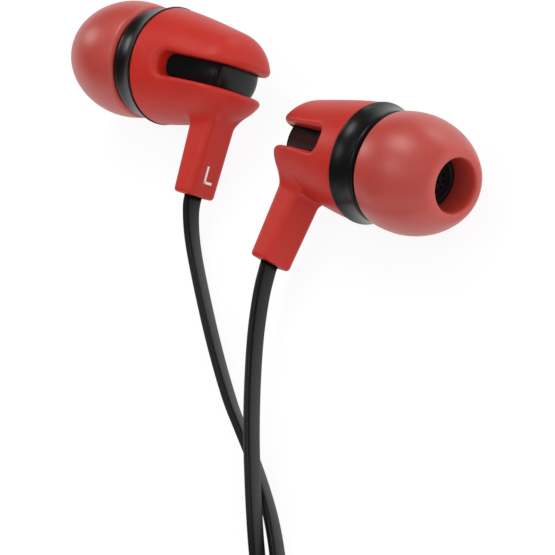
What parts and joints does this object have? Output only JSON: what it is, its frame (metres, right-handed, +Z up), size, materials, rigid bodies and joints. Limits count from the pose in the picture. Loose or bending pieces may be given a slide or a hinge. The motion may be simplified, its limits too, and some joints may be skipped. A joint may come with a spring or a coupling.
{
  "type": "wired earphones",
  "caption": "In-ear wired earphones: red bullet housings with side slots, black rings, red silicone tips, a flat black cord with a Y splitter, and a jack plug.",
  "frame": {"origin": "on the surface that the earphones lie on, under the middle of the two earpieces taken together", "axes": "+Z up from the surface; the cords leave towards -Y; the left earpiece lies on the -X side and the right one on the +X side, with their tips pointing apart"},
  "size_m": [0.0659, 0.1156, 0.0124],
  "materials": {
    "silicone": "translucent red silicone, smooth",
    "black_gloss": "moulded, glossy",
    "red_satin": "moulded, satin",
    "black_matte": "moulded, matte",
    "mesh": "blackened",
    "foam": "open foam",
    "steel": "plated",
    "film": "thin film",
    "copper": "enamelled copper",
    "magnet": "nickel plated",
    "paper": "fibre paper",
    "board": "solder mask",
    "cord": "flat flexible jacket, satin",
    "crimp": "pressed",
    "contacts": "nickel plated",
    "insulator": "moulded",
    "tie": "soft band"
  },
  "bodies": {
    "root": {"left_front_shell": "black_gloss", "left_nozzle_mesh": "mesh", "left_housing": "red_satin", "left_barrel": "black_gloss", "left_end_cap": "black_gloss", "left_foam_ring": "foam", "left_driver_grille": "steel", "left_driver_frame": "black_matte", "left_surround": "film", "left_pole_plate": "steel", "left_magnet": "magnet", "left_yoke": "steel", "left_vent_paper": "paper", "left_terminal_board": "board", "left_lead_wires": "copper", "left_strain_relief": "cord", "right_front_shell": "black_gloss", "right_nozzle_mesh": "mesh", "right_housing": "red_satin", "right_barrel": "black_gloss", "right_end_cap": "black_gloss", "right_foam_ring": "foam", "right_driver_grille": "steel", "right_driver_frame": "black_matte", "right_surround": "film", "right_pole_plate": "steel", "right_magnet": "magnet", "right_yoke": "steel", "right_vent_paper": "paper", "right_terminal_board": "board", "right_lead_wires": "copper", "right_strain_relief": "cord", "left_cord": "cord", "left_cord_coil": "cord", "left_cord_tail": "cord", "right_cord": "cord", "right_cord_coil": "cord", "right_cord_tail": "cord", "splitter_top": "black_matte", "splitter_bottom": "black_matte", "splitter_crimp": "crimp", "main_cord_lead": "cord", "main_cord_coil": "cord", "main_cord_end": "cord", "plug_boot": "black_matte", "plug_grip": "black_matte", "plug_sleeve": "contacts", "plug_ring": "contacts", "plug_tip": "contacts", "plug_insulators": "insulator", "pair_tie": "tie", "main_tie": "tie"},
    "left_tip": {"left_ear_tip": "silicone"},
    "right_tip": {"right_ear_tip": "silicone"},
    "left_cone": {"left_diaphragm": "film", "left_voice_coil": "copper"},
    "right_cone": {"right_diaphragm": "film", "right_voice_coil": "copper"}
  },
  "joints": [
    {"name": "left_tip_pull", "type": "slide", "parent": "root", "child": "left_tip", "axis": [-0.8527, 0.5205, -0.0454], "range_m": [0, 0.005]},
    {"name": "right_tip_pull", "type": "slide", "parent": "root", "child": "right_tip", "axis": [0.8197, -0.5697, 0.0593], "range_m": [0, 0.005]},
    {"name": "left_cone_stroke", "type": "slide", "parent": "root", "child": "left_cone", "axis": [-0.8527, 0.5205, -0.0454], "range_m": [-0.00015, 0.00015], "stiffness_N_per_m": 50},
    {"name": "right_cone_stroke", "type": "slide", "parent": "root", "child": "right_cone", "axis": [0.8197, -0.5697, 0.0593], "range_m": [-0.00015, 0.00015], "stiffness_N_per_m": 50}
  ]
}
